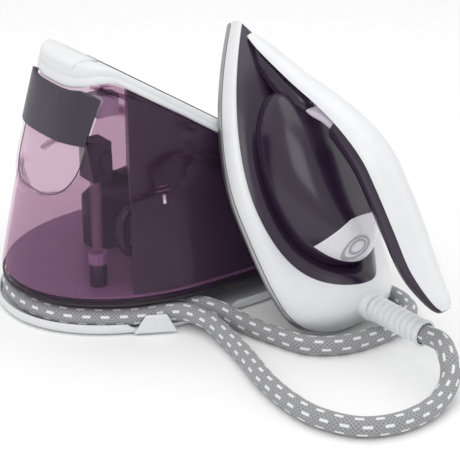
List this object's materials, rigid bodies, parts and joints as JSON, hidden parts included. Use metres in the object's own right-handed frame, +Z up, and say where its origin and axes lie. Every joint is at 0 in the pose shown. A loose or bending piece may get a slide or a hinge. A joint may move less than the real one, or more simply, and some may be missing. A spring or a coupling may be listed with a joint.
{
  "type": "steam generator iron",
  "caption": "Steam generator iron: a see-through water station with a sloping rest and a braided hose to the iron leaning against it.",
  "frame": {"origin": "middle of the footprint of the station and iron together, on the table, with the hose left out", "axes": "+X along the station from its filling door to its mains end, +Y from the iron toward the station, +Z up"},
  "size_m": [0.2864, 0.4149, 0.218],
  "materials": {
    "black": "matte black plastic",
    "brass": "plain brass",
    "cast": "cast aluminium",
    "clear": "see-through pale plastic",
    "dark": "glossy dark purple plastic",
    "green": "circuit board laminate",
    "grey": "matte grey plastic",
    "hose": "grey braided textile with pale flecks",
    "lavender": "satin lavender plastic",
    "rubber": "matte rubber",
    "silver": "pale silver plastic",
    "steel": "brushed stainless steel",
    "tank": "see-through purple plastic",
    "white": "satin white plastic"
  },
  "bodies": {
    "station": {"base_tray": "white", "boiler_heater": "cast", "boiler_shell": "steel", "boiler_thermostat": "black", "chassis_plate": "black", "control_board": "green", "descaling_seat": "black", "door_pin": "tank", "filling_manifold": "dark", "foot_1": "rubber", "foot_2": "rubber", "foot_3": "rubber", "foot_4": "rubber", "hose_clip": "white", "hose_hub": "grey", "hose_loop": "hose", "hose_outlet": "black", "hose_stored": "hose", "inlet_elbow": "dark", "inner_housing": "dark", "mains_inlet": "black", "pedestal": "grey", "platform": "white", "platform_bracket": "lavender", "pressure_valve": "brass", "pump_pipe": "grey", "rest_pad_1": "rubber", "rest_pad_2": "rubber", "steam_pipe": "brass", "steam_valve": "brass", "suction_coupling": "clear", "suction_foot": "dark", "suction_tube": "clear", "tank_floor": "tank", "tank_gasket": "rubber", "water_pump": "black", "water_tank": "tank"},
    "iron": {"soleplate": "cast", "steam_chamber": "cast", "heating_element": "steel", "iron_thermostat": "black", "skirt": "white", "body_cover": "dark", "dome_cover": "dark", "rear_cap": "silver", "temperature_light": "grey", "handle_shell": "white", "handle_grip": "dark", "iron_steam_pipe": "brass", "hose_collar": "white", "strain_relief": "white"},
    "trigger": {"steam_trigger": "lavender"},
    "door": {"door_window": "clear", "door_cap": "dark"},
    "carry_lock": {"lock_button": "white", "lock_hook": "grey"},
    "knob": {"descaling_knob": "grey"},
    "power_key": {"power_button": "silver"}
  },
  "joints": [
    {"name": "iron_lift", "type": "slide", "parent": "station", "child": "iron", "axis": [0, 0, 1], "range_m": [0, 0.15], "deforming": ["hose_loop"]},
    {"name": "trigger_press", "type": "hinge", "parent": "iron", "child": "trigger", "pos_m": [0.05917, -0.04278, 0.16976], "axis": [-0.9976, -0.0698, 0], "range_deg": [0, 5], "stiffness_Nm_per_rad": 0.5},
    {"name": "door_open", "type": "hinge", "parent": "station", "child": "door", "pos_m": [-0.11686, 0.08726, 0.1037], "axis": [0, -1, 0], "range_deg": [0, 45]},
    {"name": "lock_press", "type": "slide", "parent": "station", "child": "carry_lock", "axis": [1, 0, 0], "range_m": [0, 0.0025], "stiffness_N_per_m": 300},
    {"name": "knob_turn", "type": "hinge", "parent": "station", "child": "knob", "pos_m": [0.13245, 0.12526, 0.046], "axis": [1, 0, 0], "range_deg": [0, 180]},
    {"name": "power_press", "type": "slide", "parent": "station", "child": "power_key", "axis": [-1, 0, 0], "range_m": [0, 0.0015], "stiffness_N_per_m": 300}
  ]
}
